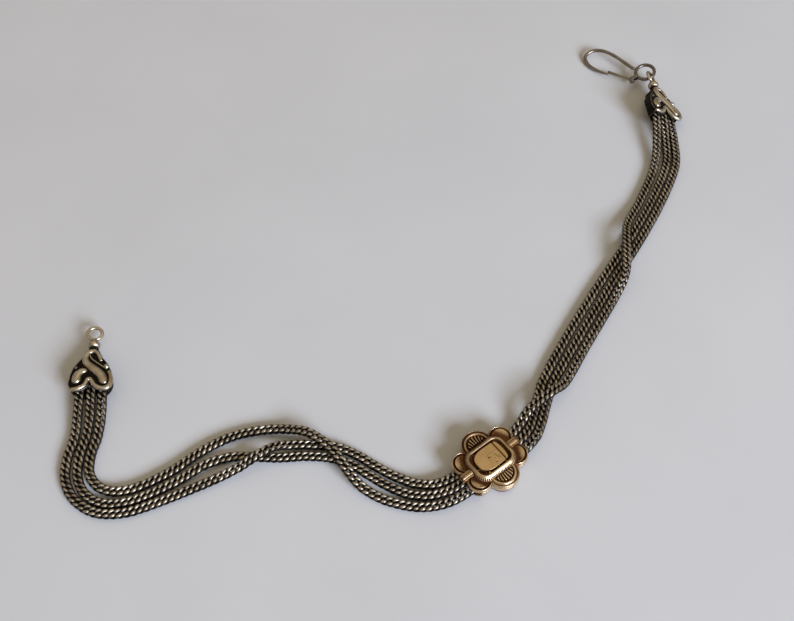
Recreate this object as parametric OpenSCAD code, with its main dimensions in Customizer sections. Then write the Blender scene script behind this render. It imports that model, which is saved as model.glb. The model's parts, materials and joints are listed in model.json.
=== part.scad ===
// Pocket watch chain: three fine curb strands between two scrolled end caps,
// with a gilt rosette slide on them, a swivel eye at each end and a wire
// snap hook in the far eye. Millimetres, +Z up, lying on Z = 0. The origin is
// the centre of the slide's underside and +X runs along the slide's tunnel.

/* [Strands] */
// Diameter of each fine curb strand
strand_d = 2.1; // [1.9:0.05:2.1]

/* [Slide] */
// Length of the slide along the strands, from boss to boss
slide_len = 16.2; // [15.8:0.1:17]
// Width of the slide across the two ribbed fans
slide_w = 15.6; // [15.2:0.1:16]
// Thickness of the base plate, top plate and side band
slide_wall = 0.4; // [0.35:0.05:0.45]
// Height of the tunnel that the strands run through
tunnel_h = 2.65; // [2.6:0.05:2.8]
// Width of the tunnel's two mouths
tunnel_w = 8; // [7.6:0.1:8.2]

/* [End caps] */
// Width of an end cap across its two lobes
cap_w = 9.7; // [9.6:0.1:9.9]
// Depth of the cap's hollow, front to back
cap_bore_h = 2.6; // [2.4:0.1:2.7]
// Spacing of the three strands where they enter a cap
strand_pitch = 2.55; // [2.4:0.05:2.6]

/* [Swivels] */
// Outer diameter of a swivel eye's ring
eye_od = 4.14; // [4:0.02:4.2]
// Wire diameter of a swivel eye's ring
eye_wire_d = 0.84; // [0.76:0.02:0.9]
// Diameter of the swivel's shank
shank_d = 1.0; // [0.9:0.02:1.1]
// Radial clearance of the shank in its bush
shank_clear = 0.04; // [0.03:0.01:0.08]

/* [Snap hook] */
// Wire diameter of the hook and its ring
hook_wire_d = 0.95; // [0.85:0.05:1]
// Outer diameter of the hook's ring
hook_ring_od = 6; // [5.9:0.05:6.1]
// Diameter of the gate's hinge pin
gate_pin_d = 0.5; // [0.4:0.05:0.6]

/* [Hidden] */
$fn = 48;

silver = "#8d8a84";
dark_silver = "#4a443e";
gilt = "#b58a4c";
steel = "#5c5a58";

// How many sides a strand's tube has, and steps between two route points
strand_sides = 8;
route_steps = 2;

// The slide's stack, from the underside up
floor_z = slide_wall;
roof_z = floor_z + tunnel_h;
top_z = roof_z + slide_wall;
bezel_floor_z = top_z + 0.45;
plaque_top_z = top_z + 1.1;
bezel_top_z = top_z + 1.25;
petal_r = 2.75;
petal_x = slide_len / 2 - 3;
petal_y = 2.55;
fan_r = 3.7;
fan_y = slide_w / 2 - fan_r;
foot_inset = 0.8;
ledge_z = 1.3;
strand_z = 1.72;

// The end cap in its own frame: +Y to the tip, +X to its right, +Z to its front
lobe_r = 2.4;
lobe_x = cap_w / 2 - lobe_r;
lobe_y = -5.7;
notch_y = -4.8;
face_z = 1.35;
face_tilt = 4;
cap_back_z = -2.5;
cap_back_r = 7.5;
neck_top_y = 2.9;
neck_bore_r = 0.82;
bush_y = 1.3;
bush_top_y = 4;
anchor_y = -5;
anchor_t = 1.1;
mouth_y = -7.4;
bead_y = 5.1;
bead_r = 1.45;
bead_half = 0.95;
rivet_y = 0.5;
rivet_t = 0.5;
ring_y = 8.3;
ring_r = (eye_od - eye_wire_d) / 2;
eye_bore_r = ring_r - eye_wire_d / 2 + 0.09;

// Where each cap lies: place, direction of its tip and roll about its own axis
cap_a_at = [-54.65, 75.25, 2.5];
cap_a_turn = 57;
cap_a_roll = 0;
cap_b_at = [108.45, 54.38, 3.2];
cap_b_turn = 56;
cap_b_roll = 30;
eye_a_roll = 8;
eye_b_roll = 50;

// The snap hook in its own frame: +X to its nose, gate on the +Y side
hook_at = [113.35, 63.75, 3.3];
hook_turn = [-11.5, 7.5, 110];
hook_ring_r = (hook_ring_od - hook_wire_d) / 2;
gate_at = [2.3, 3.8];
gate_wire_d = 0.76;
knuckle_r = 0.62;
knuckle_w = 0.7;
cheek_t = 0.4;
cheek_gap = 0.06;
gate_tip = [9.3, 3.38];

// Places where a strand, counted -1 to 1 across the cap, ends and enters it
function in_cap(at, turn, roll, p) =
  let (x = p[0] * cos(roll) + p[2] * sin(roll), z = p[2] * cos(roll) - p[0] * sin(roll))
  let (t = turn - 90)
  at + [x * cos(t) - p[1] * sin(t), x * sin(t) + p[1] * cos(t), z];

function end_a(k, y) = in_cap(cap_a_at, cap_a_turn, cap_a_roll, [k * strand_pitch, y, 0]);

function end_b(k, y) = in_cap(cap_b_at, cap_b_turn, cap_b_roll, [k * strand_pitch, y, 0]);

// Routes of the three strands between the caps: x, y and height
inner_route = [
  [-59.9, 62.7, 1.8], [-63, 59, 1.2], [-66.6, 55.7, 1.1], [-69, 52, 1.1],
  [-69, 48, 1.1], [-66.6, 44.8, 1.1], [-62, 42.7, 1.1], [-55, 41.6, 1.1],
  [-47, 41.6, 1.1], [-40, 40.5, 1.1], [-34, 37.8, 1.2], [-29.8, 34.4, 1.7],
  [-27, 30.4, 3], [-25.6, 26, 3.5], [-25.2, 21.5, 3.5], [-25.4, 17, 2.8],
  [-25, 13, 1.6], [-23.6, 9, 1.1], [-21.2, 5, 1.1], [-17.6, 1.2, 1.1],
  [-13, -1.5, 1.6], [-7, -2.4, 1.72], [0, -2.4, 1.72], [7, -2.4, 1.72],
  [12, -1.6, 1.6], [16, 0.6, 1.1], [20, 3.3, 1.1], [25, 6.4, 1.1],
  [32, 9.4, 1.1], [43, 13.6, 1.1], [56, 18.4, 1.1], [68, 22.5, 1.1],
  [79, 26.8, 1.1], [89.5, 31.6, 1.1], [97, 36.1, 1.1], [102.6, 42.2, 1.3]
];
middle_route = [
  [-62, 64, 1.8], [-65, 60.5, 1.2], [-68.5, 57.2, 1.1], [-71.2, 53.4, 1.1],
  [-72.2, 49, 1.1], [-70.8, 44.8, 1.1], [-67.2, 41.8, 1.1], [-62, 40, 1.1],
  [-55, 38.8, 1.1], [-48.5, 38.4, 1.1], [-43, 36.5, 1.1], [-38.5, 33, 1.1],
  [-34.5, 29.6, 1.1], [-30, 26.5, 1.1], [-26, 22.8, 1.1], [-23.4, 18.6, 1.1],
  [-22, 14.5, 1.1], [-20.5, 10, 1.1], [-18.2, 5.6, 1.1], [-15, 2.4, 1.3],
  [-11, 0.4, 1.8], [-6, 0, 1.72], [0, -0.1, 1.72], [6, -0.1, 1.72],
  [11.5, 0.6, 1.6], [15.5, 2.9, 1.1], [19.4, 5.6, 1.1], [24, 8.5, 1.1],
  [31, 11.6, 1.1], [42, 16, 1.1], [55, 20.7, 1.1], [67, 24.7, 1.1],
  [78, 28.9, 1.1], [88, 33.5, 1.1], [95.4, 37.9, 1.1], [100.8, 43.7, 1.8]
];
outer_route = [
  [-64.3, 65.5, 1.8], [-67.4, 61.6, 1.2], [-71, 58.3, 1.1], [-73.7, 54.2, 1.1],
  [-74.6, 49, 1.1], [-72.8, 43.6, 1.1], [-68.6, 39.9, 1.1], [-62.8, 37.6, 1.1],
  [-50, 34.3, 1.3], [-43, 32.7, 2.2], [-38.6, 32, 3.4], [-34.6, 31.5, 3.2],
  [-31, 30.3, 1.8], [-27, 27.6, 1.2], [-23.2, 23.8, 1.1], [-20.9, 19.2, 1.1],
  [-19.4, 14.6, 1.1], [-17.6, 10.2, 1.1], [-15.2, 6.2, 1.2], [-11.6, 3.1, 1.7],
  [-6, 2.2, 1.72], [6, 2.2, 1.72], [11, 2.85, 1.8], [14.6, 3.8, 3.1],
  [18.6, 4.1, 3.5], [23, 4.1, 3.3], [27.7, 4.9, 1.7], [38, 9.1, 1.2],
  [52.5, 14.6, 1.3], [58.5, 17.2, 3], [62.8, 21, 3.5], [67, 25.2, 3.4],
  [71.6, 28.9, 2], [80, 32.6, 1.2], [91, 38.3, 1.3], [97.6, 44, 2.8]
];

// Scrollwork on a cap's face, in the cap's frame: x, y and half width
ribbon_path = [
  [2.2, -0.25, 0.26], [1.85, 0.7, 0.28], [1.4, 1.7, 0.3], [0.85, 2.4, 0.34],
  [0.2, 2.62, 0.38], [-0.6, 2.4, 0.44], [-1.15, 1.6, 0.5], [-1.3, 0.5, 0.58],
  [-0.95, -0.6, 0.64], [0, -1.75, 0.68], [1.2, -2.9, 0.7], [2.2, -4.1, 0.74],
  [2.85, -5.3, 0.78], [3, -6.6, 0.76]
];
curl_path = [
  [-1.3, -2.85, 0.38], [-2, -2.95, 0.52], [-2.75, -3.6, 0.62],
  [-3, -4.8, 0.68], [-2.85, -5.9, 0.66]
];
rim_path = [
  [3.7, -3.4, 0.26], [4.3, -4.3, 0.3], [4.5, -5.5, 0.34], [4.35, -6.8, 0.38],
  [3.7, -7.6, 0.4], [2.7, -7.85, 0.4], [1.7, -7.5, 0.4], [1, -6.7, 0.38],
  [0.6, -5.7, 0.36], [0, -4.85, 0.36], [-0.6, -5.7, 0.36], [-1.1, -6.7, 0.36],
  [-1.9, -7.3, 0.38], [-2.9, -7.6, 0.36], [-4, -7.55, 0.26]
];
inlay_path = [
  [-0.35, 1.75, 0.12], [-0.3, 1.3, 0.15], [0.05, 0.5, 0.16], [0.9, -0.4, 0.16],
  [1.9, -1.3, 0.16], [2.7, -2.1, 0.16]
];
bead_places = [[3.35, -2], [-3.3, -1.75]];

// The hook's wire, from its ring round the nose to its thin lip, in the hook's frame
hook_path = [
  [2.95, 0], [4.5, -0.4], [7.3, -1.45], [10.6, -2.6], [13.6, -3.1], [16, -2.7],
  [17.5, -1.4], [18, 0.3], [17.2, 1.72], [15.4, 3.1], [12.6, 3.9], [9, 4.2]
];

function spline_at(a, b, c, d, t) =
  0.5 * (2 * b + (c - a) * t + (2 * a - 5 * b + 4 * c - d) * t * t
    + (3 * b - a - 3 * c + d) * t * t * t);

// A smooth path through route points, with a number of steps between two
function spline(points, steps) =
  let (last = len(points) - 1)
  [
    for (i = [0:last - 1], k = [0:steps - 1])
      spline_at(points[max(i - 1, 0)], points[i], points[i + 1],
        points[min(i + 2, last)], k / steps),
    points[last]
  ];

function unit(v) = v / norm(v);

function heading(path, i) =
  unit(path[min(i + 1, len(path) - 1)] - path[max(i - 1, 0)]);

// The faces of a closed tube of rings, from ring 0 to the last
function tube_faces(last, sides) = concat(
  [[for (k = [sides - 1:-1:0]) k]],
  [[for (k = [0:sides - 1]) last * sides + k]],
  [
    for (i = [0:last - 1], k = [0:sides - 1])
      let (a = i * sides + k, b = i * sides + (k + 1) % sides)
      for (face = [[a, b, b + sides], [a, b + sides, a + sides]]) face
  ]
);

// A closed tube along a path that never points straight up
module tube(path, radii, sides) {
  last = len(path) - 1;
  rings = [
    for (i = [0:last])
      let (ahead = heading(path, i), side = unit(cross([0, 0, 1], ahead)))
      let (up = cross(ahead, side))
      for (k = [0:sides - 1])
        path[i] + radii[i] * (cos(360 * k / sides) * side + sin(360 * k / sides) * up)
  ];
  polyhedron(points = rings, faces = tube_faces(last, sides));
}

// One strand from cap to cap; k is its place across the caps, -1 to 1
module strand(route, k) {
  ends = [[end_a(k, anchor_y), end_a(k, mouth_y)], [end_b(k, mouth_y), end_b(k, anchor_y)]];
  path = spline(concat(ends[0], route, ends[1]), route_steps);
  color(dark_silver) tube(path, [for (p = path) strand_d / 2], strand_sides);
}

// The plane of a cap's front face, which rises towards the mouth
module on_face() {
  translate([0, 0, face_z]) rotate([-face_tilt, 0, 0]) children();
}

// A half-round ribbon that lies on the face along x, y, half-width points
module face_ribbon(points, steps) {
  path = spline(points, steps);
  last = len(path) - 1;
  sides = 7;
  rings = [
    for (i = [0:last])
      let (ahead = heading([for (p = path) [p[0], p[1]]], i), w = path[i][2])
      for (k = [0:sides - 1])
        let (a = 180 * k / (sides - 1))
        [
          path[i][0] - ahead[1] * w * cos(a),
          path[i][1] + ahead[0] * w * cos(a),
          min(w, 0.6) * sin(a)
        ]
  ];
  polyhedron(points = rings, faces = tube_faces(last, sides));
}

module rounded_rect(half_x, half_y, r) {
  square([2 * half_x, 2 * (half_y - r)], center = true);
  square([2 * (half_x - r), 2 * half_y], center = true);
  for (x = [-1, 1], y = [-1, 1])
    translate([x * (half_x - r), y * (half_y - r)]) circle(r = r);
}

// The slide's plan: four corner petals and two fans round a middle
module slide_plan(inset) {
  square([2 * petal_x - 2 * inset, 2 * (petal_y + petal_r - 0.6 - inset)], center = true);
  for (x = [-1, 1], y = [-1, 1])
    translate([x * petal_x, y * petal_y]) circle(r = petal_r - inset);
  for (y = [-1, 1]) translate([0, y * fan_y]) circle(r = fan_r - inset);
}

module tongue_plan() {
  square([slide_len, 1.72], center = true);
}

module bezel_plan() {
  rounded_rect(5.55, 4.25, 2.6);
}

module slide_base() {
  color(gilt) linear_extrude(floor_z) slide_plan(foot_inset);
}

// One height of the side band, open where the strands pass through
module band_ring(low, high, outer, inner) {
  translate([0, 0, low]) linear_extrude(high - low) difference() {
    slide_plan(outer);
    slide_plan(inner);
    square([2 * slide_len, tunnel_w], center = true);
  }
}

// The side band: a recessed foot, a ledge and the wall under the rosette
module slide_band() {
  ledge_t = 0.35;
  color(gilt) {
    band_ring(floor_z, ledge_z, foot_inset, foot_inset + slide_wall);
    band_ring(ledge_z, ledge_z + ledge_t, 0, foot_inset + slide_wall);
    band_ring(ledge_z + ledge_t, roof_z, 0, slide_wall);
  }
}

module slide_top() {
  color(gilt) translate([0, 0, roof_z]) linear_extrude(slide_wall) {
    slide_plan(0);
    tongue_plan();
  }
}

module slide_petals() {
  dome_r = 4.7;
  dome_h = 0.75;
  base_r = 2.55;
  color(gilt) translate([0, 0, top_z]) difference() {
    for (x = [-1, 1], y = [-1, 1]) translate([x * petal_x, y * petal_y, 0])
      intersection() {
        translate([0, 0, dome_h - dome_r]) sphere(r = dome_r);
        cylinder(r = base_r, h = 1);
      }
    linear_extrude(2) {
      bezel_plan();
      for (y = [-1, 1]) translate([0, y * fan_y]) circle(r = fan_r - 0.1);
      square([slide_len + 1, 2], center = true);
    }
  }
}

// One fan at the origin, open towards -Y, with radiating ribs and a rim
module fan(ribs) {
  rib_in = 0.6;
  rib_out = fan_r - 0.9;
  linear_extrude(0.3) circle(r = fan_r - 0.15);
  translate([0, 0, 0.3]) linear_extrude(0.4) difference() {
    circle(r = fan_r - 0.15);
    circle(r = fan_r - 0.75);
  }
  for (i = [0:ribs - 1]) rotate(20 + 140 * i / (ribs - 1))
    translate([rib_in, -0.14, 0.3]) cube([rib_out - rib_in, 0.28, 0.25]);
}

module slide_fans() {
  color(gilt) translate([0, 0, top_z]) difference() {
    for (a = [0, 180]) rotate(a) translate([0, fan_y, 0]) fan(9);
    linear_extrude(2) bezel_plan();
  }
}

module slide_bosses() {
  flute_r = 0.34;
  color(gilt) translate([0, 0, top_z]) difference() {
    for (x = [-1, 1], y = [-1, 0, 1])
      translate([x * 5, y * 0.56, 0]) rotate([0, x * 90, 0])
        cylinder(r = flute_r, h = slide_len / 2 - 5);
    translate([-slide_len, -slide_len, -2]) cube([2 * slide_len, 2 * slide_len, 2]);
    linear_extrude(2) bezel_plan();
  }
}

module slide_bezel() {
  color(gilt) difference() {
    hull() {
      translate([0, 0, top_z]) linear_extrude(0.2) bezel_plan();
      translate([0, 0, bezel_top_z - 0.2]) linear_extrude(0.2) rounded_rect(4.65, 3.35, 2);
    }
    translate([0, 0, bezel_floor_z]) linear_extrude(2) rounded_rect(4.1, 2.95, 1.6);
  }
}

module slide_plaque() {
  color(gilt) translate([0, 0, bezel_floor_z])
    linear_extrude(plaque_top_z - bezel_floor_z) rounded_rect(3.6, 2.8, 1.3);
}

// A bowed leaf under the strands that holds the slide where it is put
module slide_spring() {
  bow_r = 57;
  leaf_t = 0.15;
  color(steel) intersection() {
    translate([0, 0, strand_z - strand_d / 2 - 0.03 - bow_r]) rotate([90, 0, 0])
      difference() {
        cylinder(r = bow_r, h = 5.6, center = true, $fn = 180);
        cylinder(r = bow_r - leaf_t, h = 6, center = true, $fn = 180);
      }
    translate([-5.6, -3, floor_z]) cube([11.2, 6, 1]);
  }
}

// The cap's outline above its two lobes, from the notch up to the neck
module cap_body_plan() {
  polygon([
    [0, notch_y], [-1.2, -5.4], [-2, -6.2], [-3.6, -6.2], [-4.6, -5.2], [-4.65, -3.9],
    [-4, -1.6], [-3.1, -0.2], [-2.4, 0.7], [-2, 1.5], [-1.75, 2.4], [-1.35, neck_top_y],
    [1.35, neck_top_y], [1.75, 2.4], [2, 1.5], [2.4, 0.7], [3.1, -0.2], [4, -1.6],
    [4.65, -3.9], [4.6, -5.2], [3.6, -6.2], [2, -6.2], [1.2, -5.4]
  ]);
}

// The hollow cap: flat face, barrelled back, open mouth for the strands
module cap_shell() {
  mouth_w = 2 * strand_pitch + strand_d + 0.4;
  color(dark_silver) difference() {
    intersection() {
      union() {
        for (x = [-1, 1]) translate([x * lobe_x, lobe_y, cap_back_z])
          cylinder(r = lobe_r, h = 5.5);
        translate([0, 0, cap_back_z]) linear_extrude(5.5) cap_body_plan();
      }
      translate([0, 0, cap_back_z + cap_back_r]) rotate([90, 0, 0])
        cylinder(r = cap_back_r, h = 40, center = true, $fn = 96);
    }
    on_face() translate([-cap_w, -15, 0]) cube([2 * cap_w, 30, 5]);
    translate([-mouth_w / 2, -9, -cap_bore_h / 2])
      cube([mouth_w, 9 + anchor_y + anchor_t, cap_bore_h]);
    translate([0, anchor_y, 0]) rotate([-90, 0, 0]) cylinder(r = 1.05, h = bush_y - anchor_y);
    translate([0, bush_y - 0.1, 0]) rotate([-90, 0, 0]) cylinder(r = neck_bore_r, h = 3);
  }
}

// The bush in the cap's neck that the swivel's shank turns in
module cap_bush() {
  collar_r = 1.15;
  color(silver) translate([0, bush_y, 0]) rotate([-90, 0, 0]) difference() {
    union() {
      cylinder(r = neck_bore_r, h = bush_top_y - bush_y);
      translate([0, 0, neck_top_y - bush_y]) cylinder(r = collar_r, h = bush_top_y - neck_top_y);
    }
    translate([0, 0, -1]) cylinder(r = shank_d / 2 + shank_clear, h = 6);
  }
}

module cap_ribbon() {
  color(silver) on_face() face_ribbon(ribbon_path, 3);
}

module cap_curl() {
  color(silver) on_face() face_ribbon(curl_path, 3);
}

module cap_rim() {
  color(silver) on_face() face_ribbon(rim_path, 2);
}

module cap_inlay() {
  color(silver) on_face() face_ribbon(inlay_path, 2);
}

module cap_beads() {
  color(silver) on_face() for (p = bead_places) translate([p[0], p[1], 0])
    intersection() {
      sphere(r = 0.58);
      cylinder(r = 1, h = 1);
    }
}

// The bar inside the mouth that the ends of the three strands are fixed to
module cap_anchor() {
  color(dark_silver) translate([-3.6, anchor_y, -cap_bore_h / 2])
    cube([7.2, anchor_t, cap_bore_h]);
}

// Ring, bead and shank of a swivel, turned and shaped as one piece
module swivel_eye() {
  color(silver) difference() {
    union() {
      translate([0, ring_y, 0]) rotate_extrude() translate([ring_r, 0]) circle(d = eye_wire_d);
      translate([0, bead_y, 0]) rotate([90, 0, 0]) rotate_extrude() {
        intersection() {
          translate([bead_r - bead_half, 0]) circle(r = bead_half);
          translate([0, -bead_half]) square([bead_r, 2 * bead_half]);
        }
        translate([0, -bead_half]) square([bead_r - bead_half, 2 * bead_half]);
      }
      translate([0, rivet_y, 0]) rotate([-90, 0, 0])
        cylinder(d = shank_d, h = ring_y - ring_r - rivet_y);
    }
    translate([0, ring_y, -1]) cylinder(r = eye_bore_r, h = 2);
  }
}

// The peened end that keeps the shank in its bush
module swivel_rivet() {
  color(silver) translate([0, rivet_y, 0]) rotate([-90, 0, 0]) difference() {
    cylinder(r = 0.85, h = rivet_t);
    translate([0, 0, -0.5]) cylinder(d = shank_d, h = 2);
  }
}

module at_cap_a() {
  translate(cap_a_at) rotate([0, 0, cap_a_turn - 90]) rotate([0, cap_a_roll, 0]) children();
}

module at_cap_b() {
  translate(cap_b_at) rotate([0, 0, cap_b_turn - 90]) rotate([0, cap_b_roll, 0]) children();
}

module at_eye_a() {
  translate(cap_a_at) rotate([0, 0, cap_a_turn - 90]) rotate([0, eye_a_roll, 0]) children();
}

module at_eye_b() {
  translate(cap_b_at) rotate([0, 0, cap_b_turn - 90]) rotate([0, eye_b_roll, 0]) children();
}

module at_hook() {
  translate(hook_at) rotate(hook_turn) children();
}

module hook_ring() {
  color(steel) at_hook()
    rotate_extrude() translate([hook_ring_r, 0]) circle(d = hook_wire_d);
}

module hook_wire() {
  flat = spline(hook_path, 3);
  path = [for (p = flat) [p[0], p[1], 0]];
  last = len(path) - 1;
  color(steel) at_hook() difference() {
    tube(path, [for (i = [0:last]) hook_wire_d / 2 * min(1, 0.62 + 0.06 * (last - i))], 12);
    rotate_extrude() translate([hook_ring_r, 0]) circle(d = hook_wire_d);
  }
}

// Two cheeks on the ring that hold the gate's pin
module hook_fork() {
  out = unit(gate_at);
  turn = atan2(out[1], out[0]);
  color(steel) at_hook() difference() {
    for (z = [1, -1]) translate([0, 0, z * (knuckle_w / 2 + cheek_gap + cheek_t / 2)]) {
      translate(gate_at) cylinder(r = knuckle_r, h = cheek_t, center = true);
      rotate(turn) translate([hook_ring_r, -0.45, -cheek_t / 2])
        cube([norm(gate_at) - hook_ring_r, 0.9, cheek_t]);
    }
    rotate_extrude() translate([hook_ring_r, 0]) circle(d = hook_wire_d);
    translate([gate_at[0], gate_at[1], -2]) cylinder(d = gate_pin_d, h = 4);
  }
}

module gate_pin() {
  pin_l = knuckle_w + 2 * cheek_gap + 2 * cheek_t;
  color(steel) at_hook() translate([gate_at[0], gate_at[1], 0])
    cylinder(d = gate_pin_d, h = pin_l, center = true);
}

module hook_gate() {
  reach = gate_tip - gate_at;
  turn = atan2(reach[1], reach[0]);
  color(steel) at_hook() translate([gate_at[0], gate_at[1], 0]) difference() {
    union() {
      cylinder(r = knuckle_r, h = knuckle_w, center = true);
      rotate([0, 0, turn]) translate([0.3, 0, 0]) rotate([0, 90, 0])
        cylinder(d = gate_wire_d, h = norm(reach) - 0.3);
      translate([reach[0], reach[1], 0]) sphere(d = gate_wire_d + 0.1);
    }
    difference() {
      cylinder(r = knuckle_r + 0.5, h = 3, center = true);
      cylinder(r = knuckle_r + 1, h = knuckle_w, center = true);
    }
    cylinder(d = gate_pin_d + 0.06, h = 2, center = true);
  }
}

// A short leaf on the ring that bears on the gate's knuckle and shuts it
module gate_spring() {
  reach = norm(gate_at) - knuckle_r - 0.05 - hook_ring_r;
  color(steel) at_hook() difference() {
    rotate(atan2(gate_at[1], gate_at[0])) translate([hook_ring_r, -0.08, -0.3])
      cube([reach, 0.16, 0.6]);
    rotate_extrude() translate([hook_ring_r, 0]) circle(d = hook_wire_d);
  }
}

strand(inner_route, 1);  // strand_inner
strand(middle_route, 0);  // strand_middle
strand(outer_route, -1);  // strand_outer
slide_base();
slide_band();
slide_top();
slide_petals();
slide_fans();
slide_bosses();
slide_bezel();
slide_plaque();
slide_spring();
at_cap_a() cap_shell();  // cap_a_shell
at_cap_a() cap_bush();  // cap_a_bush
at_cap_a() cap_ribbon();  // cap_a_ribbon
at_cap_a() cap_curl();  // cap_a_curl
at_cap_a() cap_rim();  // cap_a_rim
at_cap_a() cap_inlay();  // cap_a_inlay
at_cap_a() cap_beads();  // cap_a_beads
at_cap_a() cap_anchor();  // cap_a_anchor
at_cap_b() cap_shell();  // cap_b_shell
at_cap_b() cap_bush();  // cap_b_bush
at_cap_b() cap_ribbon();  // cap_b_ribbon
at_cap_b() cap_curl();  // cap_b_curl
at_cap_b() cap_rim();  // cap_b_rim
at_cap_b() cap_inlay();  // cap_b_inlay
at_cap_b() cap_beads();  // cap_b_beads
at_cap_b() cap_anchor();  // cap_b_anchor
at_eye_a() swivel_eye();  // swivel_a_eye
at_eye_a() swivel_rivet();  // swivel_a_rivet
at_eye_b() swivel_eye();  // swivel_b_eye
at_eye_b() swivel_rivet();  // swivel_b_rivet
hook_ring();
hook_wire();
hook_fork();
hook_gate();
gate_pin();
gate_spring();
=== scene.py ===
"""Looks for the pocket watch chain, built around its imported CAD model.

Lengths are in millimetres until a piece is made. The frame is the CAD's: the
origin lies under the slide, +X runs along its tunnel and +Z is up.
"""

import json
import math
import random

import bmesh
import bpy
import numpy as np
from mathutils import Matrix, Vector


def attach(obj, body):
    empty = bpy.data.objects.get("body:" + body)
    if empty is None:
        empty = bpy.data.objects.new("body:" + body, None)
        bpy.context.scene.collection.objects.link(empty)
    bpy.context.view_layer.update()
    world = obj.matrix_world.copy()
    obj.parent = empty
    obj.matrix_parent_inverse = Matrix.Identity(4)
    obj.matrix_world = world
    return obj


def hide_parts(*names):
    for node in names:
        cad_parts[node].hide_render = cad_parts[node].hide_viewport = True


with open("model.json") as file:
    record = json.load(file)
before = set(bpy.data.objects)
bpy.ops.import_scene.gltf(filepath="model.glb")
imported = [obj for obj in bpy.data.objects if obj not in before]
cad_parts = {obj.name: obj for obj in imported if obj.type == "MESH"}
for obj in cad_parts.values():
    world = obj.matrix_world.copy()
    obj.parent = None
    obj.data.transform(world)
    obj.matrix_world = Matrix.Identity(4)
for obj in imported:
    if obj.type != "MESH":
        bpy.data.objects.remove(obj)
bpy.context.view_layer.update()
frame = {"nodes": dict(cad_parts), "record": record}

MM = 0.001
rng = random.Random(7)

# ---------------------------------------------------------------- camera
CAMERA_AT = (-84.56, -74.19, 215.8)
# Degrees away from looking straight down, and about the vertical
CAMERA_TILT = 35.21
CAMERA_TURN = -38.5

cam_data = bpy.data.cameras.new("camera")
cam_data.lens = 50
cam_data.sensor_width = 36
cam_data.clip_start = 0.01
cam_data.clip_end = 10
camera = bpy.data.objects.new("camera", cam_data)
camera.location = tuple(value * MM for value in CAMERA_AT)
camera.rotation_euler = (math.radians(CAMERA_TILT), 0, math.radians(CAMERA_TURN))
bpy.context.scene.collection.objects.link(camera)
bpy.context.scene.camera = camera


# ---------------------------------------------------------------- materials
# The metals' surface: the scale of its noises, and how deep and how strong its pits are
PATCHES_PER_MM = 0.35
GRAIN_PER_MM = 3.0
FLECKS_PER_MM = 4 * GRAIN_PER_MM
SCRATCHES_PER_MM = 2.2
PIT_DEPTH = 0.02
PIT_STRENGTH = 0.35
OPEN_AIR_SAMPLES = 12
# How much noise breaks up the wear, and how soft its edge is
WEAR_NOISE = 0.35
WEAR_EDGE = 0.18


def new_material(name):
    """An empty material with its node tree and its shader."""
    mat = bpy.data.materials.new(name)
    mat.use_nodes = True
    nt = mat.node_tree
    nt.nodes.clear()
    out = nt.nodes.new("ShaderNodeOutputMaterial")
    bsdf = nt.nodes.new("ShaderNodeBsdfPrincipled")
    nt.links.new(bsdf.outputs[0], out.inputs[0])
    return mat, nt, bsdf


def put(nt, kind, **values):
    """A node with its named properties and input values set, and its links made."""
    node = nt.nodes.new("ShaderNode" + kind)
    for key, value in values.items():
        if hasattr(node, key):
            setattr(node, key, value)
            continue
        socket = node.inputs[int(key[1:])] if key[1:].isdigit() else node.inputs[key]
        if isinstance(value, bpy.types.NodeSocket):
            nt.links.new(value, socket)
        else:
            socket.default_value = value
    return node


def coords_mm(nt, stretch=(1, 1, 1)):
    """The piece's own coordinates in millimetres, so a noise scale is per mm."""
    own = put(nt, "TexCoord").outputs["Object"]
    scale = tuple(s / MM for s in stretch)
    return put(nt, "VectorMath", operation="MULTIPLY", i0=own, i1=scale).outputs[0]


def ramp(nt, fac, *stops):
    """A value or colour read off stops, each a place from 0 to 1 and its grey or colour."""
    node = put(nt, "ValToRGB", i0=fac)
    ends = node.color_ramp.elements
    while len(ends) < len(stops):
        ends.new(0.5)
    for end, (where, shade) in zip(ends, stops):
        end.position = where
        end.color = (*shade, 1) if hasattr(shade, "__len__") else (shade, shade, shade, 1)
    return node.outputs[0]


def mix(nt, fac, a, b):
    """From a at factor 0 to b at factor 1."""
    node = put(nt, "Mix", data_type="RGBA")
    for socket, value in zip((node.inputs[0], node.inputs[6], node.inputs[7]), (fac, a, b)):
        if isinstance(value, bpy.types.NodeSocket):
            nt.links.new(value, socket)
        elif socket.type == "VALUE":
            socket.default_value = value
        else:
            socket.default_value = (*value, 1)
    return node.outputs[2]


def math_node(nt, operation, a, b, c=0.0):
    return put(nt, "Math", operation=operation, i0=a, i1=b, i2=c).outputs[0]


def noise(nt, pos, scale, detail, rough=0.5):
    return put(nt, "TexNoise", Vector=pos, Scale=scale, Detail=detail, Roughness=rough).outputs[0]


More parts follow.
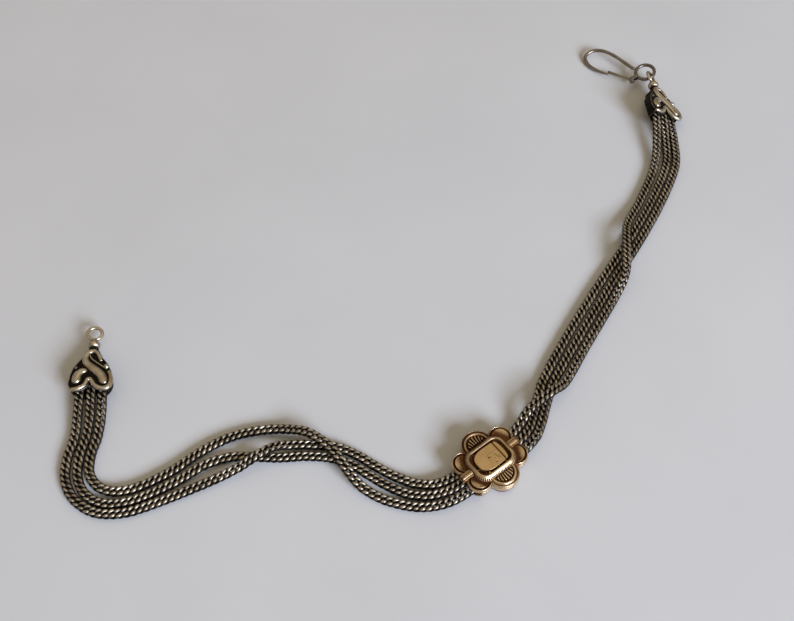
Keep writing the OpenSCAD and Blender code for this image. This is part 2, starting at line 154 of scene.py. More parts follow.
def aged_metal(name, bright, dull, oxide, rough=(0.28, 0.5), reach=0.9, recess=1.0,
               wear_from=0.35):
    """Worn metal: bright on the raised parts, oxide in the recesses, fine pits and scratches.

    Reach is how far from a wall, in millimetres, a recess still darkens, recess is how
    strongly, and wear_from is the wear at which half of the oxide is rubbed off.
    """
    mat, nt, bsdf = new_material(name)
    pos = coords_mm(nt)
    broad = noise(nt, pos, PATCHES_PER_MM, 5.0, 0.6)
    fine = noise(nt, pos, GRAIN_PER_MM, 6.0, 0.65)
    fleck = noise(nt, pos, FLECKS_PER_MM, 3.0, 0.7)
    lines = noise(nt, coords_mm(nt, (1.0, 9.0, 2.0)), SCRATCHES_PER_MM, 4.0, 0.8)

    shelter = put(nt, "AmbientOcclusion", Distance=reach * MM, samples=OPEN_AIR_SAMPLES)
    open_air = math_node(nt, "POWER", shelter.outputs["AO"], recess)
    # The wear attribute also holds painted shade on parts of the slide, which darkens the metal
    # there.
    wear = put(nt, "Attribute", attribute_name="wear").outputs["Fac"]
    wear = math_node(nt, "MULTIPLY_ADD", fine, WEAR_NOISE, wear)
    wear = math_node(nt, "SUBTRACT", wear, WEAR_NOISE / 2)
    worn = math_node(nt, "MULTIPLY", wear, open_air)
    tone = ramp(nt, broad, (0.3, dull), (0.7, bright))
    body = mix(nt, ramp(nt, fleck, (0.35, 0.75), (0.6, 1.0)), dull, tone)
    shade = ramp(nt, worn, (wear_from - WEAR_EDGE, 0.0), (wear_from + WEAR_EDGE, 1.0))
    color = mix(nt, shade, oxide, body)
    nt.links.new(color, bsdf.inputs["Base Color"])
    bsdf.inputs["Metallic"].default_value = 1.0
    rough_tex = mix(nt, shade, (rough[1] + 0.1,) * 3,
                    ramp(nt, fine, (0.3, rough[0]), (0.7, rough[1])))
    nt.links.new(rough_tex, bsdf.inputs["Roughness"])
    height = mix(nt, 0.5, fleck, lines)
    bump = put(nt, "Bump", Strength=PIT_STRENGTH, Distance=PIT_DEPTH * MM, Height=height)
    nt.links.new(bump.outputs[0], bsdf.inputs["Normal"])
    return mat


SILVER = aged_metal("worn_silver", (0.70, 0.66, 0.575), (0.42, 0.345, 0.25), (0.03, 0.025, 0.02),
                    rough=(0.24, 0.42), reach=1.1, recess=1.5, wear_from=0.36)
STRAND = aged_metal("strand_silver", (0.64, 0.575, 0.485), (0.32, 0.27, 0.215),
                    (0.022, 0.018, 0.015), rough=(0.28, 0.46), reach=0.7, wear_from=0.44)
OXIDE = aged_metal("blackened_silver", (0.40, 0.35, 0.29), (0.15, 0.125, 0.10),
                   (0.016, 0.0135, 0.012), rough=(0.36, 0.55), wear_from=0.86)
GILT = aged_metal("gilt", (0.84, 0.70, 0.50), (0.50, 0.32, 0.165), (0.115, 0.048, 0.018),
                  rough=(0.24, 0.42), reach=1.0, recess=1.5, wear_from=0.4)
PLAQUE = aged_metal("gilt_plaque", (0.62, 0.445, 0.235), (0.50, 0.34, 0.17), (0.12, 0.055, 0.022),
                    rough=(0.3, 0.48), recess=1.1, wear_from=0.2)
STEEL = aged_metal("hook_wire_steel", (0.36, 0.32, 0.275), (0.20, 0.175, 0.145),
                   (0.05, 0.042, 0.034), rough=(0.3, 0.46), wear_from=0.25)
DARK_STEEL = aged_metal("hook_ring_steel", (0.25, 0.23, 0.20), (0.12, 0.107, 0.092),
                        (0.03, 0.026, 0.022), rough=(0.26, 0.42), wear_from=0.35)
SLOTS = {"strand_silver": STRAND, "cap_oxide": OXIDE, "cap_highlight": SILVER,
         "swivel_silver": SILVER, "gilt": GILT, "gilt_plaque": PLAQUE, "hook_steel": STEEL,
         "spring_steel": STEEL}
# Every CAD node gets its slot's material, for those that no drawn piece replaces
for part in frame["record"]["subparts"]:
    node = frame["nodes"][part["node"]]
    node.data.materials.clear()
    node.data.materials.append(SLOTS[part["material_slot"]])


# ---------------------------------------------------------------- geometry
# Steps between two given points of a path
PATH_STEPS = 12


def distance_along(path):
    """How far along the path each of its points is."""
    return np.concatenate([[0], np.cumsum(np.linalg.norm(np.diff(path, axis=0), axis=1))])


def smooth_path(points, steps):
    """A Catmull-Rom path through the points, as the CAD draws it."""
    last = len(points) - 1
    out = []
    for i in range(last):
        a, b = np.array(points[max(i - 1, 0)]), np.array(points[i])
        c, d = np.array(points[i + 1]), np.array(points[min(i + 2, last)])
        for k in range(steps):
            t = k / steps
            out.append(0.5 * (2 * b + (c - a) * t + (2 * a - 5 * b + 4 * c - d) * t * t
                              + (3 * b - a - 3 * c + d) * t ** 3))
    out.append(np.array(points[last], float))
    return np.array(out)


def even_path(path, gap):
    """The same path in equal steps of about one gap."""
    run = distance_along(path)
    count = max(2, round(run[-1] / gap))
    where = np.linspace(0, run[-1], count + 1)
    return np.stack([np.interp(where, run, path[:, k]) for k in range(path.shape[1])], axis=1)


def headings(path, closed=False):
    """The direction of the path at each of its points, as unit vectors."""
    if closed:
        step = np.roll(path, -1, axis=0) - np.roll(path, 1, axis=0)
    else:
        step = np.gradient(path, axis=0)
    return step / np.linalg.norm(step, axis=1)[:, None]


def store_wear(mesh, wear):
    """Gives each point its wear: 0 keeps its oxide and 1 is rubbed bright. On the slide's bezel,
    side band and one fan the values also hold painted shade.
    """
    layer = mesh.attributes.new("wear", "FLOAT", "POINT")
    layer.data.foreach_set("value", np.asarray(wear, np.float32))


def mark_wear(mesh):
    """Stores how far each point stands out of its surroundings, 0 to 1, as wear."""
    level, gain, spread = 0.55, 0.35, 2
    count = len(mesh.vertices)
    co = np.empty(count * 3, np.float32)
    mesh.vertices.foreach_get("co", co)
    co = co.reshape(-1, 3) / MM
    normal = np.empty(count * 3, np.float32)
    mesh.vertices.foreach_get("normal", normal)
    normal = normal.reshape(-1, 3)
    edge = np.empty(len(mesh.edges) * 2, np.int32)
    mesh.edges.foreach_get("vertices", edge)
    edge = edge.reshape(-1, 2)
    near = np.bincount(edge.ravel(), minlength=count).astype(float)
    near[near == 0] = 1

    def around(values):
        total = np.zeros_like(values, dtype=float)
        np.add.at(total, edge[:, 0], values[edge[:, 1]])
        np.add.at(total, edge[:, 1], values[edge[:, 0]])
        return total / (near[:, None] if values.ndim > 1 else near)

    span = around(co) - co
    reach = np.zeros(count)
    length = np.linalg.norm(co[edge[:, 0]] - co[edge[:, 1]], axis=1)
    np.add.at(reach, edge[:, 0], length ** 2)
    np.add.at(reach, edge[:, 1], length ** 2)
    reach = np.maximum(reach / near, 1e-4)
    bend = -np.einsum("ij,ij->i", span, normal) / reach
    for _ in range(spread):
        bend = 0.5 * bend + 0.5 * around(bend)
    store_wear(mesh, np.clip(level + gain * bend, 0, 1))


def piece(name, verts, faces, material, body, stands_for, place=None, wear=None, slot=None):
    """A mesh piece from points in millimetres, riding on a CAD body in place of CAD nodes.

    Without given wear it is worked out from the shape. The slot, the CAD's material slot, is not
    used.
    """
    points = np.array(verts, float)
    if place is not None:
        turn = np.array(place)
        points = points @ turn[:3, :3].T + turn[:3, 3]
    mesh = bpy.data.meshes.new(name)
    mesh.from_pydata((points * MM).tolist(), [], faces)
    mesh.validate()
    mesh.update()
    mesh.materials.append(material)
    mesh.shade_smooth()
    if wear is None:
        mark_wear(mesh)
    else:
        store_wear(mesh, wear)
    obj = bpy.data.objects.new(name, mesh)
    bpy.context.scene.collection.objects.link(obj)
    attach(obj, body)
    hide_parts(*stands_for)
    return obj


# ---------------------------------------------------------------- strands
def turned(degrees, axis):
    """A turn about one axis."""
    return Matrix.Rotation(math.radians(degrees), 4, axis)


# Where the caps, the swivels' eyes and the hook are, as in the CAD
CAP_A = Matrix.Translation((-54.65, 75.25, 2.5)) @ turned(57 - 90, "Z")
EYE_A = CAP_A @ turned(8, "Y")
CAP_B_FLAT = Matrix.Translation((108.45, 54.38, 3.2)) @ turned(56 - 90, "Z")
CAP_B = CAP_B_FLAT @ turned(30, "Y")
EYE_B = CAP_B_FLAT @ turned(50, "Y")
HOOK = (Matrix.Translation((113.35, 63.75, 3.3)) @ turned(110, "Z") @ turned(7.5, "Y")
        @ turned(-11.5, "X"))
STRAND_PITCH = 2.55
# Where a strand is fixed in a cap, and where it leaves its mouth, in the cap's own frame
ANCHOR_Y = -5
MOUTH_Y = -7.4
# Each strand's place across the caps, and its route between their mouths
ROUTES = {
    "strand_inner": (1, [
        (-59.9, 62.7, 1.8), (-63, 59, 1.2), (-66.6, 55.7, 1.1), (-69, 52, 1.1),
        (-69, 48, 1.1), (-66.6, 44.8, 1.1), (-62, 42.7, 1.1), (-55, 41.6, 1.1),
        (-47, 41.6, 1.1), (-40, 40.5, 1.1), (-34, 37.8, 1.2), (-29.8, 34.4, 1.7),
        (-27, 30.4, 3), (-25.6, 26, 3.5), (-25.2, 21.5, 3.5), (-25.4, 17, 2.8),
        (-25, 13, 1.6), (-23.6, 9, 1.1), (-21.2, 5, 1.1), (-17.6, 1.2, 1.1),
        (-13, -1.5, 1.6), (-7, -2.4, 1.72), (0, -2.4, 1.72), (7, -2.4, 1.72),
        (12, -1.6, 1.6), (16, 0.6, 1.1), (20, 3.3, 1.1), (25, 6.4, 1.1),
        (32, 9.4, 1.1), (43, 13.6, 1.1), (56, 18.4, 1.1), (68, 22.5, 1.1),
        (79, 26.8, 1.1), (89.5, 31.6, 1.1), (97, 36.1, 1.1), (102.6, 42.2, 1.3)]),
    "strand_middle": (0, [
        (-62, 64, 1.8), (-65, 60.5, 1.2), (-68.5, 57.2, 1.1), (-71.2, 53.4, 1.1),
        (-72.2, 49, 1.1), (-70.8, 44.8, 1.1), (-67.2, 41.8, 1.1), (-62, 40, 1.1),
        (-55, 38.8, 1.1), (-48.5, 38.4, 1.1), (-43, 36.5, 1.1), (-38.5, 33, 1.1),
        (-34.5, 29.6, 1.1), (-30, 26.5, 1.1), (-26, 22.8, 1.1), (-23.4, 18.6, 1.1),
        (-22, 14.5, 1.1), (-20.5, 10, 1.1), (-18.2, 5.6, 1.1), (-15, 2.4, 1.3),
        (-11, 0.4, 1.8), (-6, 0, 1.72), (0, -0.1, 1.72), (6, -0.1, 1.72),
        (11.5, 0.6, 1.6), (15.5, 2.9, 1.1), (19.4, 5.6, 1.1), (24, 8.5, 1.1),
        (31, 11.6, 1.1), (42, 16, 1.1), (55, 20.7, 1.1), (67, 24.7, 1.1),
        (78, 28.9, 1.1), (88, 33.5, 1.1), (95.4, 37.9, 1.1), (100.8, 43.7, 1.8)]),
    "strand_outer": (-1, [
        (-64.3, 65.5, 1.8), (-67.4, 61.6, 1.2), (-71, 58.3, 1.1), (-73.7, 54.2, 1.1),
        (-74.6, 49, 1.1), (-72.8, 43.6, 1.1), (-68.6, 39.9, 1.1), (-62.8, 37.6, 1.1),
        (-50, 34.3, 1.3), (-43, 32.7, 2.2), (-38.6, 32, 3.4), (-34.6, 31.5, 3.2),
        (-31, 30.3, 1.8), (-27, 27.6, 1.2), (-23.2, 23.8, 1.1), (-20.9, 19.2, 1.1),
        (-19.4, 14.6, 1.1), (-17.6, 10.2, 1.1), (-15.2, 6.2, 1.2), (-11.6, 3.1, 1.7),
        (-6, 2.2, 1.72), (6, 2.2, 1.72), (11, 2.85, 1.8), (14.6, 3.8, 3.1),
        (18.6, 4.1, 3.5), (23, 4.1, 3.3), (27.7, 4.9, 1.7), (38, 9.1, 1.2),
        (52.5, 14.6, 1.3), (58.5, 17.2, 3), (62.8, 21, 3.5), (67, 25.2, 3.4),
        (71.6, 28.9, 2), (80, 32.6, 1.2), (91, 38.3, 1.3), (97.6, 44, 2.8)]),
}
# The links are slimmer than the CAD's cord, so they settle where it lies on the paper. It
# begins under one height and is done once they are that much lower.
SETTLE = 0.25
SETTLE_FROM = 3.0
SETTLE_OVER = 2
LINK_PITCH = 1.4
LINK_HALF_L = 1.38
LINK_HALF_W = 0.77
LINK_WIRE_R = 0.36
LINK_LIFT = 0.4
LINK_STEPS = 26
LINK_SIDES = 9
# How far one link differs from the next: degrees of roll, share of width, and wear
LINK_ROLL = (-5, 5)
LINK_STRETCH = (0.98, 1.02)
LINK_WEAR = (-0.1, 0.1)


def strand_links(path):
    """Curb links along a path: each is a bent ring, half up and half down."""
    ahead = headings(path)
    turn = np.linspace(0, 2 * math.pi, LINK_STEPS, endpoint=False)
    ring = np.stack([LINK_HALF_L * np.cos(turn), LINK_HALF_W * np.sin(turn),
                     -LINK_LIFT * np.sin(2 * turn)], axis=1)
    along = headings(ring, closed=True)
    out = np.stack([np.cos(turn) / LINK_HALF_L, np.sin(turn) / LINK_HALF_W, 0 * turn], axis=1)
    out -= along * np.einsum("ij,ij->i", out, along)[:, None]
    out /= np.linalg.norm(out, axis=1)[:, None]
    up = np.cross(along, out)
    spin = np.linspace(0, 2 * math.pi, LINK_SIDES, endpoint=False)
    wire = (ring[:, None] + LINK_WIRE_R * (np.cos(spin)[None, :, None] * out[:, None]
            + np.sin(spin)[None, :, None] * up[:, None])).reshape(-1, 3)
    size = len(wire)
    cell = np.arange(size).reshape(LINK_STEPS, LINK_SIDES)
    quads = np.stack([cell, np.roll(cell, -1, 0), np.roll(np.roll(cell, -1, 0), -1, 1),
                      np.roll(cell, -1, 1)], axis=-1).reshape(-1, 4)
    verts, faces, wear = [], [], []
    lift = np.clip(np.abs(wire[:, 2]) / (LINK_LIFT + LINK_WIRE_R), 0, 1)
    # Only the highest parts of a link are rubbed bright
    rubbed = 0.05 + 0.8 * lift ** 2.2
    for i in range(len(path)):
        x = ahead[i]
        y = np.cross([0, 0, 1], x)
        y /= np.linalg.norm(y)
        z = np.cross(x, y)
        roll = math.radians(rng.uniform(*LINK_ROLL))
        yr = math.cos(roll) * y + math.sin(roll) * z
        zr = math.cos(roll) * z - math.sin(roll) * y
        stretch = rng.uniform(*LINK_STRETCH)
        verts.append(path[i] + wire[:, :1] * x + stretch * wire[:, 1:2] * yr + wire[:, 2:] * zr)
        faces.append(quads + i * size)
        wear.append(np.clip(rubbed + rng.uniform(*LINK_WEAR), 0, 1))
    return np.concatenate(verts), np.concatenate(faces).tolist(), np.concatenate(wear)


def local(matrix, x, y, z):
    """A point given in a placed part's own frame."""
    return tuple(matrix @ Vector((x, y, z)))


for name, (place, route) in ROUTES.items():
    x = place * STRAND_PITCH
    points = ([local(CAP_A, x, ANCHOR_Y, 0), local(CAP_A, x, MOUTH_Y, 0)] + route
              + [local(CAP_B, x, MOUTH_Y, 0), local(CAP_B, x, ANCHOR_Y, 0)])
    path = even_path(smooth_path(points, PATH_STEPS), LINK_PITCH)
    lowered = path.copy()
    lowered[:, 2] -= SETTLE * np.clip((SETTLE_FROM - path[:, 2]) / SETTLE_OVER, 0, 1)
    verts, faces, wear = strand_links(lowered)
    links = piece(name + "_links", verts, faces, STRAND, "chain", (name,), wear=wear,
                  slot="strand_silver")


# ---------------------------------------------------------------- shapes
def round_ends(path, reach, least):
    """The share of its width a band keeps at each point, so that both its ends are round.

    Reach is the length of an end, and the share is never under the root of least.
    """
    run = distance_along(path)
    share = np.ones(len(path))
    for end in (run, run[-1] - run):
        part = np.clip(1 - end / reach, 0, 1)
        share *= np.sqrt(np.clip(1 - part ** 2, least, 1))
    return share


def tube(path, radius, sides, closed=False):
    """A round wire along a path, with rounded ends where it is open."""
    radii = np.broadcast_to(np.asarray(radius, float), len(path)).copy()
    if not closed:
        radii *= round_ends(path, radii, least=0.0004)
    ahead = headings(path, closed)
    side = np.cross([0.0, 0.0, 1.0], ahead)
    side /= np.linalg.norm(side, axis=1)[:, None]
    up = np.cross(ahead, side)
    spin = np.linspace(0, 2 * math.pi, sides, endpoint=False)
    rings = path[:, None] + radii[:, None, None] * (
        np.cos(spin)[None, :, None] * side[:, None]
        + np.sin(spin)[None, :, None] * up[:, None])
    return rings.reshape(-1, 3), grid_faces(len(path), sides, closed, True, not closed)


def grid_faces(rows, cols, wrap_rows=False, wrap_cols=False, cap=False):
    """Quads over a grid of points, with its first and last row closed if asked."""
    faces = []
    for i in range(rows if wrap_rows else rows - 1):
        for k in range(cols if wrap_cols else cols - 1):
            a, b = i * cols + k, i * cols + (k + 1) % cols
            c, d = (i + 1) % rows * cols + k, (i + 1) % rows * cols + (k + 1) % cols
            faces.append((a, b, d, c))
    if cap:
        faces.append(tuple(range(cols - 1, -1, -1)))
        faces.append(tuple(range((rows - 1) * cols, rows * cols)))
    return faces


def soft_step(x, lo, hi):
    """From 0 below lo to 1 above hi, with both ends eased."""
    t = np.clip((x - lo) / (hi - lo), 0, 1)
    return t * t * (3 - 2 * t)


def hump(x, middle, width):
    """A smooth bump, 1 high."""
    return np.exp(-((x - middle) / width) ** 2)


# How far the foot of a scroll goes under the cap's face
SCROLL_SINK = 0.25


def scroll(points, height, highest, gap=0.07, across=17):
    """A domed band on a cap's face along x, y, half width points, with round ends.

    It rises by its half width times height, but no further than highest.
    """
    path = even_path(smooth_path(points, 10), gap)
    flat = path[:, :2]
    width = path[:, 2] * round_ends(flat, np.maximum(path[:, 2], 0.05), least=0.002)
    ahead = headings(flat)
    side = np.stack([-ahead[:, 1], ahead[:, 0]], axis=1)
    u = np.cos(np.linspace(0, math.pi, across))
    dome = np.sqrt(1 - np.abs(u) ** 2.4)
    lift = np.minimum(width * height, highest)
    top = np.zeros((len(path), across + 2, 3))
    top[:, 1:-1, :2] = flat[:, None] + (width[:, None] * u[None])[..., None] * side[:, None]
    top[:, 1:-1, 2] = lift[:, None] * dome[None]
    top[:, 0] = top[:, 1] - [0, 0, SCROLL_SINK]
    top[:, -1] = top[:, -2] - [0, 0, SCROLL_SINK]
    return top.reshape(-1, 3), grid_faces(len(path), across + 2, False, True, True)


def relaxed(verts, faces, voxel, rounds):
    """The same solid with its edges rounded as if cast: remeshed fine, then relaxed."""
    mesh = bpy.data.meshes.new("work")
    mesh.from_pydata(np.asarray(verts).tolist(), [], faces)
    obj = bpy.data.objects.new("work", mesh)
    bpy.context.scene.collection.objects.link(obj)
    grid = obj.modifiers.new("grid", "REMESH")
    grid.mode = "VOXEL"
    grid.voxel_size = voxel
    ease = obj.modifiers.new("ease", "SMOOTH")
    ease.iterations = rounds
    ease.factor = 0.5
    out = obj.evaluated_get(bpy.context.evaluated_depsgraph_get()).to_mesh()
    co = np.empty(len(out.vertices) * 3, np.float32)
    out.vertices.foreach_get("co", co)
    new_faces = [tuple(p.vertices) for p in out.polygons]
    bpy.data.objects.remove(obj)
    bpy.data.meshes.remove(mesh)
    return co.reshape(-1, 3).astype(float), new_faces


def cad_shape(node):
    """A CAD node's points in millimetres and its faces."""
    mesh = frame["nodes"][node].data
    co = np.empty(len(mesh.vertices) * 3, np.float32)
    mesh.vertices.foreach_get("co", co)
    return co.reshape(-1, 3).astype(float) / MM, [tuple(p.vertices) for p in mesh.polygons]


def cast(node, material, body, voxel, rounds, polish=None):
    """A piece with a CAD node's own shape, its sharp edges eased as on the real casting.

    With polish given, it is the wear of the whole piece.
    """
    verts, faces = relaxed(*cad_shape(node), voxel=voxel, rounds=rounds)
    wear = None if polish is None else np.full(len(verts), polish)
    return piece(node + "_cast", verts, faces, material, body, (node,), wear=wear)


# ---------------------------------------------------------------- end caps
# The face the scrolls lie on, in the cap's frame, and the scrolls as x, y, half width
FACE = Matrix.Translation((0, 0, 1.35)) @ turned(-4, "X")
RIBBON = [
    (2.25, -0.4, 0.29), (1.85, 0.67, 0.3), (1.36, 1.84, 0.31), (0.81, 2.5, 0.34),
    (0.18, 2.72, 0.4), (-0.64, 2.46, 0.46), (-1.2, 1.65, 0.52), (-1.38, 0.49, 0.58),
    (-1.02, -0.67, 0.66), (0.02, -1.78, 0.7), (1.23, -2.91, 0.73), (2.28, -4.11, 0.78),
    (2.95, -5.37, 0.82), (3.12, -6.35, 0.82), (3.05, -7.0, 0.78)]
INLAY = [
    (-0.42, 2.15, 0.12), (-0.42, 1.55, 0.15), (0, 0.55, 0.16), (0.88, -0.35, 0.16),
    (1.91, -1.27, 0.16), (2.94, -2.18, 0.16), (3.7, -2.85, 0.14)]
CURL = [
    (-0.75, -2.7, 0.34), (-1.35, -2.72, 0.5), (-2.05, -2.95, 0.64), (-2.75, -3.7, 0.74),
    (-3.02, -4.8, 0.82), (-2.9, -5.75, 0.8), (-2.8, -6.2, 0.74)]
RIM = [
    (3.95, -3.27, 0.3), (4.55, -4.5, 0.36), (4.74, -5.9, 0.42), (4.56, -7.05, 0.44),
    (4.02, -7.8, 0.45), (3.05, -8.0, 0.44), (1.99, -7.6, 0.42), (1.13, -6.86, 0.4),
    (0.59, -5.95, 0.4), (0.05, -5.2, 0.42), (-0.5, -5.35, 0.42), (-0.75, -6.0, 0.4),
    (-1.2, -6.8, 0.4), (-2.05, -7.4, 0.42), (-3.1, -7.66, 0.4), (-4.3, -7.6, 0.3)]
# The castings' scrolls are fuller than the CAD's
SCROLL_GAIN = 1.26
RIM_GAIN = 1.22
# The two beads on a cap's face: x, y, radius
BRIGHT_BEAD = (3.45, -1.95, 0.6)
DARK_BEAD = (-3.35, -1.75, 0.5)


def fuller(points, gain):
    return [(x, y, w * gain) for x, y, w in points]


def cap_bead(x, y, r):
    """A small raised bead on the face with a turned foot."""
    rows, cols = 14, 28
    flatter, foot, sink = 0.95, 0.08, 0.15
    lift = np.linspace(0, math.pi / 2, rows)
    spin = np.linspace(0, 2 * math.pi, cols, endpoint=False)
    radius = r * np.cos(lift) + foot * (lift < 0.2)
    z = r * flatter * np.sin(lift) - sink * (lift < 0.05)
    verts = np.stack([x + radius[:, None] * np.cos(spin), y + radius[:, None] * np.sin(spin),
                      np.repeat(z[:, None], cols, 1)], axis=-1)
    return verts.reshape(-1, 3), grid_faces(rows, cols, False, True, True)


def joined(*shapes):
    """Several shapes' points and faces as one shape's."""
    verts, faces, base = [], [], 0
    for v, f in shapes:
        verts.append(np.asarray(v, float))
        faces += [tuple(i + base for i in face) for face in f]
        base += len(v)
    return np.concatenate(verts), faces


def end_cap(cap, place):
    """A cap's cast shell and bush, and the scrolls and beads drawn over its face."""
    node = "cap_" + cap
    cast(node + "_shell", OXIDE, "chain", voxel=0.085, rounds=6)
    cast(node + "_bush", OXIDE, "chain", voxel=0.05, rounds=2)
    band = scroll(fuller(RIBBON, SCROLL_GAIN), height=0.8, highest=0.7)
    curl = scroll(fuller(CURL, SCROLL_GAIN), height=0.8, highest=0.66)
    rim = scroll(fuller(RIM, RIM_GAIN), height=1.0, highest=0.56)
    wire = scroll(INLAY, height=1.5, highest=0.3, gap=0.05, across=11)
    for what, shape, stands_for, material in (
            ("scroll_band", band, "ribbon", SILVER),
            ("scroll_curl", curl, "curl", SILVER),
            ("scroll_rim", rim, "rim", SILVER),
            ("inlay_wire", wire, "inlay", SILVER),
            ("bead_bright", cap_bead(*BRIGHT_BEAD), "beads", SILVER),
            ("bead_dark", cap_bead(*DARK_BEAD), "beads", OXIDE)):
        piece(node + "_" + what, *shape, material, "chain", (node + "_" + stands_for,),
              place=place @ FACE, slot="cap_highlight")


end_cap("a", CAP_A)
end_cap("b", CAP_B)


# ---------------------------------------------------------------- swivels and hook
# Radius, y points of a swivel: its stem and collar, then its neck above the ball
SWIVEL_STEM = [(0.02, 0.52), (0.46, 0.55), (0.5, 0.62), (0.5, 4.06), (0.74, 4.11), (0.78, 4.18)]
SWIVEL_NECK = [(0.62, 6.1), (0.55, 6.3), (0.5, 6.6), (0.02, 6.62)]
# The ball between them bulges out of a core, and its poles are cut off
BALL_Y = 5.1
BALL_CORE_R = 0.5
BALL_BULGE = 0.95
BALL_HALF_H = 0.93
EYE_Y = 8.3
EYE_R = 1.65
EYE_WIRE_R = 0.42
RING_R = 2.525
RING_WIRE_R = 0.47
RING_SIDES = 22


def lathe(profile):
    """A turned shape about +Y from radius, y points."""
    cols = 40
    spin = np.linspace(0, 2 * math.pi, cols, endpoint=False)
    profile = np.asarray(profile, float)
    verts = np.stack([profile[:, :1] * np.cos(spin), np.repeat(profile[:, 1:2], cols, 1),
                      -profile[:, :1] * np.sin(spin)], axis=-1)
    return verts.reshape(-1, 3), grid_faces(len(profile), cols, False, True, True)


def circle(radius, y):
    """Points round a circle that lies flat, its middle at y."""
    spin = np.linspace(0, 2 * math.pi, 96, endpoint=False)
    return np.stack([radius * np.cos(spin), y + radius * np.sin(spin), 0 * spin], axis=1)


def swivel(which, place):
    """A swivel's turned stem, collar and ball with the eye ring at its end."""
    lift = np.linspace(-math.pi / 2, math.pi / 2, 22)[2:-2]
    ball = [(BALL_CORE_R + BALL_BULGE * math.cos(a) ** 0.9, BALL_Y + BALL_HALF_H * math.sin(a))
            for a in lift]
    stem = lathe(SWIVEL_STEM + ball + SWIVEL_NECK)
    ring = tube(circle(EYE_R, EYE_Y), EYE_WIRE_R, RING_SIDES, closed=True)
    verts, faces = relaxed(*joined(stem, ring), voxel=0.05, rounds=3)
    piece("swivel_%s_eye_turned" % which, verts, faces, SILVER, "swivel_" + which,
          ("swivel_%s_eye" % which,), place=place, slot="swivel_silver")


swivel("a", EYE_A)
swivel("b", EYE_B)
for which in "ab":
    cast("swivel_%s_rivet" % which, SILVER, "swivel_" + which, voxel=0.06, rounds=3)

HOOK_PATH = [
    (2.95, 0), (4.5, -0.4), (7.3, -1.45), (10.6, -2.6), (13.6, -3.1), (16, -2.7),
    (17.5, -1.4), (18, 0.3), (17.2, 1.72), (15.4, 3.1), (12.6, 3.9), (9, 4.2)]
# The wire's radius, how much it swells at its middle and how much its nose is thinned
HOOK_WIRE_R = 0.455
HOOK_SWELL = 0.03
HOOK_NOSE_THINNED = 0.14
hook_path = even_path(smooth_path([(x, y, 0) for x, y in HOOK_PATH], PATH_STEPS), 0.16)
share = np.linspace(0, 1, len(hook_path))
hook_radius = (HOOK_WIRE_R + HOOK_SWELL * np.sin(share * math.pi)
               - HOOK_NOSE_THINNED * soft_step(share, 0.8, 1.0))
piece("hook_wire_drawn", *tube(hook_path, hook_radius, 20), STEEL, "snap_hook",
      ("hook_wire",), place=HOOK, slot="hook_steel")
piece("hook_ring_drawn", *tube(circle(RING_R, 0), RING_WIRE_R, RING_SIDES, closed=True),
      DARK_STEEL, "snap_hook", ("hook_ring",), place=HOOK, slot="hook_steel")
for node, body, voxel, metal in (("hook_fork", "snap_hook", 0.055, DARK_STEEL),
                                 ("hook_gate", "gate", 0.055, STEEL),
                                 ("gate_pin", "snap_hook", 0.05, DARK_STEEL)):
    cast(node, metal, body, voxel=voxel, rounds=3)


# ---------------------------------------------------------------- slide
# The slide as in the CAD: its top, its band's thickness, the circles of its outline, and
# half the width of the tunnel's mouth
TOP_Z = 3.45
WALL = 0.4
PETAL_R = 2.75
PETAL = (5.1, 2.55)
FAN_R = 3.7
FAN_Y = 4.1
MOUTH_HALF = 4.0
# How much smaller the drawn discs are than the outline they stand in
DISC_INSET = 0.03
# How far ornament goes into what it stands on
SUNK = 0.02


def relief(center, radius, height, polish, rows=70, cols=160):
    """A raised disc on the slide's top, with its wear at each point.

    Height and polish are functions of x, y and the distance from the disc's center.
    """
    r = radius * np.linspace(0, 1, rows) ** 0.9
    spin = np.linspace(0, 2 * math.pi, cols, endpoint=False)
    x = center[0] + r[:, None] * np.cos(spin)
    y = center[1] + r[:, None] * np.sin(spin)
    r = np.repeat(r[:, None], cols, 1)
    top = np.stack([x, y, TOP_Z + height(x, y, r)], axis=-1)
    foot = top[-1:].copy()
    foot[..., 2] = TOP_Z - SUNK
    verts = np.concatenate([top, foot]).reshape(-1, 3)
    wear = np.clip(polish(x, y, r), 0, 1)
    wear = np.concatenate([wear, wear[-1:]]).ravel()
    return verts, grid_faces(rows + 1, cols, False, True, True), wear


def petal(cx, cy):
    """A cup with a spoon in it that rises outward, inside a lip that is highest outward."""
    out = np.array([cx, cy]) / math.hypot(cx, cy)
    lip_r = 2.5

    def height(x, y, r):
        outward = (x - cx) * out[0] + (y - cy) * out[1]
        lip = 0.42 * hump(r, lip_r, 0.17)
        inner = 1 - soft_step(r, 1.9, 2.22)
        spoon = 0.08 + 0.44 * soft_step(outward, -1.3, 1.5) + 0.1 * hump(r, 1.85, 0.25)
        return 0.05 + lip * (0.45 + 0.55 * soft_step(outward, -1.2, 0.2)) + spoon * inner

    def polish(x, y, r):
        outward = (x - cx) * out[0] + (y - cy) * out[1]
        groove = 0.3 * hump(r, 2.12, 0.16)
        return 0.7 * soft_step(outward, -0.3, 2.3) - groove + 0.5 * hump(r, lip_r, 0.2)

    return height, polish


